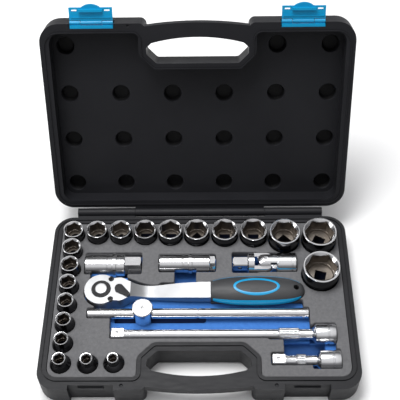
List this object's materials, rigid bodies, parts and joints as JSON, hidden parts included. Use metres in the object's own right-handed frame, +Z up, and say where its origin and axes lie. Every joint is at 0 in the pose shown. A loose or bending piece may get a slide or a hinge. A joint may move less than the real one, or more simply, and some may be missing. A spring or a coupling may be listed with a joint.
{
  "type": "socket wrench set in case",
  "caption": "Half-inch drive socket set with ratchet, sliding T-bar, extensions and universal joint, in a hinged moulded case with a two-layer foam tray.",
  "frame": {"origin": "middle of the base's flat underside", "axes": "+Z up, +X to the user's right, +Y away from the user, towards the hinge; lid open"},
  "size_m": [0.35, 0.3605, 0.2603],
  "materials": {
    "case_plastic": "fine moulded grain",
    "latch_blue": "satin moulded",
    "pin_steel": "drawn wire",
    "foam_grey": "closed-cell foam",
    "foam_blue": "closed-cell foam",
    "chrome": "polished",
    "chrome_satin": "satin",
    "blackened_steel": "blackened",
    "rubber_black": "matt",
    "grip_black": "matt soft touch",
    "grip_blue": "satin"
  },
  "bodies": {
    "base": {"base_shell": "case_plastic", "hinge_pin": "pin_steel", "foam_top": "foam_grey", "foam_bottom": "foam_blue"},
    "lid": {"lid_shell": "case_plastic", "latch_leaf_left": "latch_blue", "latch_pin_left": "pin_steel", "latch_leaf_right": "latch_blue", "latch_pin_right": "pin_steel"},
    "latch_left": {"latch_flap_left": "latch_blue"},
    "latch_right": {"latch_flap_right": "latch_blue"},
    "ratchet": {"ratchet_body": "chrome_satin", "ratchet_cover": "chrome_satin", "cover_screws": "blackened_steel", "grip": "grip_black", "grip_stripes": "grip_blue", "grip_oval": "grip_blue"},
    "ratchet_drive": {"drive_gear": "chrome", "drive_ring": "blackened_steel"},
    "ratchet_button": {"release_button": "chrome_satin"},
    "ratchet_ball": {"drive_ball": "pin_steel"},
    "ratchet_lever": {"reversing_lever": "blackened_steel"},
    "ratchet_pawl": {"pawl": "pin_steel"},
    "joint_drive": {"joint_female_yoke": "chrome"},
    "joint_centre": {"joint_block": "chrome", "joint_pins": "pin_steel"},
    "joint_driven": {"joint_male_yoke": "chrome"},
    "joint_detent": {"joint_ball": "pin_steel"},
    "tbar": {"tbar_rod": "chrome", "tbar_end_balls": "pin_steel"},
    "tbar_slider": {"tbar_head": "chrome"},
    "tbar_detent": {"tbar_head_ball": "pin_steel"},
    "extension_250mm": {"extension_250mm": "chrome"},
    "extension_250mm_detent": {"extension_250mm_ball": "pin_steel"},
    "extension_75mm": {"extension_75mm": "chrome"},
    "extension_75mm_detent": {"extension_75mm_ball": "pin_steel"},
    "plug_socket_21mm": {"plug_socket_21mm": "chrome", "plug_insert_21mm": "rubber_black"},
    "plug_socket_16mm": {"plug_socket_16mm": "chrome", "plug_insert_16mm": "rubber_black"},
    "socket_8mm": {"socket_8mm": "chrome"},
    "socket_9mm": {"socket_9mm": "chrome"},
    "socket_10mm": {"socket_10mm": "chrome"},
    "socket_11mm": {"socket_11mm": "chrome"},
    "socket_12mm": {"socket_12mm": "chrome"},
    "socket_13mm": {"socket_13mm": "chrome"},
    "socket_14mm": {"socket_14mm": "chrome"},
    "socket_15mm": {"socket_15mm": "chrome"},
    "socket_16mm": {"socket_16mm": "chrome"},
    "socket_17mm": {"socket_17mm": "chrome"},
    "socket_18mm": {"socket_18mm": "chrome"},
    "socket_19mm": {"socket_19mm": "chrome"},
    "socket_20mm": {"socket_20mm": "chrome"},
    "socket_21mm": {"socket_21mm": "chrome"},
    "socket_22mm": {"socket_22mm": "chrome"},
    "socket_23mm": {"socket_23mm": "chrome"},
    "socket_24mm": {"socket_24mm": "chrome"},
    "socket_27mm": {"socket_27mm": "chrome"},
    "socket_30mm": {"socket_30mm": "chrome"},
    "socket_32mm": {"socket_32mm": "chrome"}
  },
  "joints": [
    {"name": "lid_hinge", "type": "hinge", "parent": "base", "child": "lid", "pos_m": [0, 0.1204, 0.032], "axis": [-1, 0, 0], "range_deg": [-115.6, 0]},
    {"name": "latch_left_hinge", "type": "hinge", "parent": "lid", "child": "latch_left", "pos_m": [-0.116, 0.22457, 0.24156], "axis": [-1, 0, 0], "range_deg": [-90, 0]},
    {"name": "latch_right_hinge", "type": "hinge", "parent": "lid", "child": "latch_right", "pos_m": [0.116, 0.22457, 0.24156], "axis": [-1, 0, 0], "range_deg": [-90, 0]},
    {"name": "ratchet_lift", "type": "slide", "parent": "base", "child": "ratchet", "axis": [0, 0, 1], "range_m": [0, 0.06]},
    {"name": "ratchet_drive_spin", "type": "hinge", "parent": "ratchet", "child": "ratchet_drive", "pos_m": [-0.1124, 0.009, 0.032], "axis": [0, 0, 1], "continuous": true},
    {"name": "reversing_lever_turn", "type": "hinge", "parent": "ratchet", "child": "ratchet_lever", "pos_m": [-0.0914, 0.009, 0.0363], "axis": [0, 0, 1], "range_deg": [0, 76]},
    {"name": "pawl_turn", "type": "hinge", "parent": "ratchet", "child": "ratchet_pawl", "pos_m": [-0.1124, 0.009, 0.028], "axis": [0, 0, 1], "range_deg": [0, 8]},
    {"name": "release_button_press", "type": "slide", "parent": "ratchet_drive", "child": "ratchet_button", "axis": [0, 0, -1], "range_m": [0, 0.0025], "stiffness_N_per_m": 400, "springref_m": -0.001},
    {"name": "universal_joint_lift", "type": "slide", "parent": "base", "child": "joint_drive", "axis": [0, 0, 1], "range_m": [0, 0.06]},
    {"name": "universal_joint_upright_pin", "type": "hinge", "parent": "joint_drive", "child": "joint_centre", "pos_m": [0.0772, 0.0478, 0.0275], "axis": [0, 0, 1], "range_deg": [-3, 3]},
    {"name": "universal_joint_level_pin", "type": "hinge", "parent": "joint_centre", "child": "joint_driven", "pos_m": [0.0772, 0.0478, 0.0275], "axis": [0, 1, 0], "range_deg": [0, 30]},
    {"name": "tbar_lift", "type": "slide", "parent": "base", "child": "tbar", "axis": [0, 0, 1], "range_m": [0, 0.06]},
    {"name": "tbar_head_slide", "type": "slide", "parent": "tbar", "child": "tbar_slider", "axis": [1, 0, 0], "range_m": [-0.024, 0.062]},
    {"name": "extension_250mm_lift", "type": "slide", "parent": "base", "child": "extension_250mm", "axis": [0, 0, 1], "range_m": [0, 0.06]},
    {"name": "extension_75mm_lift", "type": "slide", "parent": "base", "child": "extension_75mm", "axis": [0, 0, 1], "range_m": [0, 0.06]},
    {"name": "plug_socket_21mm_lift", "type": "slide", "parent": "base", "child": "plug_socket_21mm", "axis": [0, 0, 1], "range_m": [0, 0.06]},
    {"name": "plug_socket_16mm_lift", "type": "slide", "parent": "base", "child": "plug_socket_16mm", "axis": [0, 0, 1], "range_m": [0, 0.06]},
    {"name": "socket_8mm_lift", "type": "slide", "parent": "base", "child": "socket_8mm", "axis": [0, 0, 1], "range_m": [0, 0.06]},
    {"name": "socket_9mm_lift", "type": "slide", "parent": "base", "child": "socket_9mm", "axis": [0, 0, 1], "range_m": [0, 0.06]},
    {"name": "socket_10mm_lift", "type": "slide", "parent": "base", "child": "socket_10mm", "axis": [0, 0, 1], "range_m": [0, 0.06]},
    {"name": "socket_11mm_lift", "type": "slide", "parent": "base", "child": "socket_11mm", "axis": [0, 0, 1], "range_m": [0, 0.06]},
    {"name": "socket_12mm_lift", "type": "slide", "parent": "base", "child": "socket_12mm", "axis": [0, 0, 1], "range_m": [0, 0.06]},
    {"name": "socket_13mm_lift", "type": "slide", "parent": "base", "child": "socket_13mm", "axis": [0, 0, 1], "range_m": [0, 0.06]},
    {"name": "socket_14mm_lift", "type": "slide", "parent": "base", "child": "socket_14mm", "axis": [0, 0, 1], "range_m": [0, 0.06]},
    {"name": "socket_15mm_lift", "type": "slide", "parent": "base", "child": "socket_15mm", "axis": [0, 0, 1], "range_m": [0, 0.06]},
    {"name": "socket_16mm_lift", "type": "slide", "parent": "base", "child": "socket_16mm", "axis": [0, 0, 1], "range_m": [0, 0.06]},
    {"name": "socket_17mm_lift", "type": "slide", "parent": "base", "child": "socket_17mm", "axis": [0, 0, 1], "range_m": [0, 0.06]},
    {"name": "socket_18mm_lift", "type": "slide", "parent": "base", "child": "socket_18mm", "axis": [0, 0, 1], "range_m": [0, 0.06]},
    {"name": "socket_19mm_lift", "type": "slide", "parent": "base", "child": "socket_19mm", "axis": [0, 0, 1], "range_m": [0, 0.06]},
    {"name": "socket_20mm_lift", "type": "slide", "parent": "base", "child": "socket_20mm", "axis": [0, 0, 1], "range_m": [0, 0.06]},
    {"name": "socket_21mm_lift", "type": "slide", "parent": "base", "child": "socket_21mm", "axis": [0, 0, 1], "range_m": [0, 0.06]},
    {"name": "socket_22mm_lift", "type": "slide", "parent": "base", "child": "socket_22mm", "axis": [0, 0, 1], "range_m": [0, 0.06]},
    {"name": "socket_23mm_lift", "type": "slide", "parent": "base", "child": "socket_23mm", "axis": [0, 0, 1], "range_m": [0, 0.06]},
    {"name": "socket_24mm_lift", "type": "slide", "parent": "base", "child": "socket_24mm", "axis": [0, 0, 1], "range_m": [0, 0.06]},
    {"name": "socket_27mm_lift", "type": "slide", "parent": "base", "child": "socket_27mm", "axis": [0, 0, 1], "range_m": [0, 0.06]},
    {"name": "socket_30mm_lift", "type": "slide", "parent": "base", "child": "socket_30mm", "axis": [0, 0, 1], "range_m": [0, 0.06]},
    {"name": "socket_32mm_lift", "type": "slide", "parent": "base", "child": "socket_32mm", "axis": [0, 0, 1], "range_m": [0, 0.06]},
    {"name": "drive_ball_press", "type": "slide", "parent": "ratchet_drive", "child": "ratchet_ball", "axis": [0, 1, 0], "range_m": [0, 0.0007], "stiffness_N_per_m": 300},
    {"name": "joint_ball_press", "type": "slide", "parent": "joint_driven", "child": "joint_detent", "axis": [0, 1, 0], "range_m": [0, 0.0007], "stiffness_N_per_m": 300},
    {"name": "tbar_ball_press", "type": "slide", "parent": "tbar_slider", "child": "tbar_detent", "axis": [0, 1, 0], "range_m": [0, 0.0007], "stiffness_N_per_m": 300},
    {"name": "extension_250mm_ball_press", "type": "slide", "parent": "extension_250mm", "child": "extension_250mm_detent", "axis": [0, 0, -1], "range_m": [0, 0.0007], "stiffness_N_per_m": 300},
    {"name": "extension_75mm_ball_press", "type": "slide", "parent": "extension_75mm", "child": "extension_75mm_detent", "axis": [0, 0, -1], "range_m": [0, 0.0007], "stiffness_N_per_m": 300}
  ],
  "couplings": [
    {"joint": "pawl_turn", "follows": "reversing_lever_turn", "ratio": 0.1053}
  ]
}
